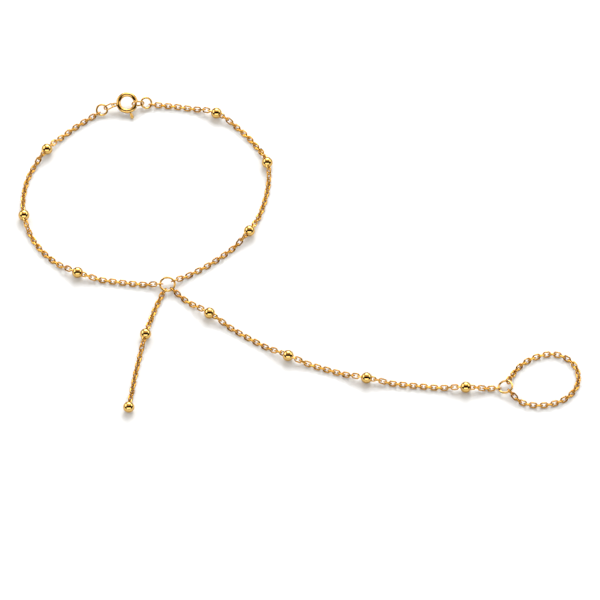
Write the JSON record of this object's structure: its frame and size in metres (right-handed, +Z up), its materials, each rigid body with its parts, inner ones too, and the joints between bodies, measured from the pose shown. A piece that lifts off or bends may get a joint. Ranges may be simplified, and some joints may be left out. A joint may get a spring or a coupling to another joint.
{
  "type": "hand chain bracelet",
  "caption": "Fine cable hand chain with round bead stations: a wrist loop with a spring ring clasp, a short drop, and a hand chain ending in a finger loop.",
  "frame": {"origin": "on the surface that the piece lies on, under the middle of its outer box", "axes": "+X from the wrist loop to the finger loop, +Y from the drop's end to the clasp, +Z up from the surface"},
  "size_m": [0.1308, 0.0936, 0.0033],
  "materials": {
    "gold": "polished gold-tone plating, the chain's links",
    "bright_gold": "mirror-polished gold-tone plating, beads, rings and clasp"
  },
  "bodies": {
    "hand_chain_body": {"clasp_ring": "bright_gold", "clasp_link_right": "bright_gold", "clasp_link_left": "bright_gold", "jump_ring_right": "bright_gold", "jump_ring_left": "bright_gold", "wrist_chain_right": "gold", "wrist_chain_left": "gold", "wrist_bead_1": "bright_gold", "wrist_bead_2": "bright_gold", "wrist_bead_3": "bright_gold", "wrist_bead_4": "bright_gold", "wrist_bead_5": "bright_gold", "wrist_bead_6": "bright_gold", "centre_ring": "bright_gold", "drop_chain": "gold", "drop_bead": "bright_gold", "drop_end_bead": "bright_gold", "hand_chain": "gold", "hand_bead_1": "bright_gold", "hand_bead_2": "bright_gold", "hand_bead_3": "bright_gold", "hand_bead_4": "bright_gold", "finger_ring": "bright_gold", "finger_chain": "gold"},
    "clasp_bolt_body": {"clasp_bolt": "bright_gold"}
  },
  "joints": [
    {"name": "clasp_trigger", "type": "hinge", "parent": "hand_chain_body", "child": "clasp_bolt_body", "pos_m": [-0.0404, 0.04432, 0.00195], "axis": [0, 0.4067, -0.9135], "range_deg": [0, 36], "stiffness_Nm_per_rad": 0.004, "springref_deg": -11.46}
  ]
}
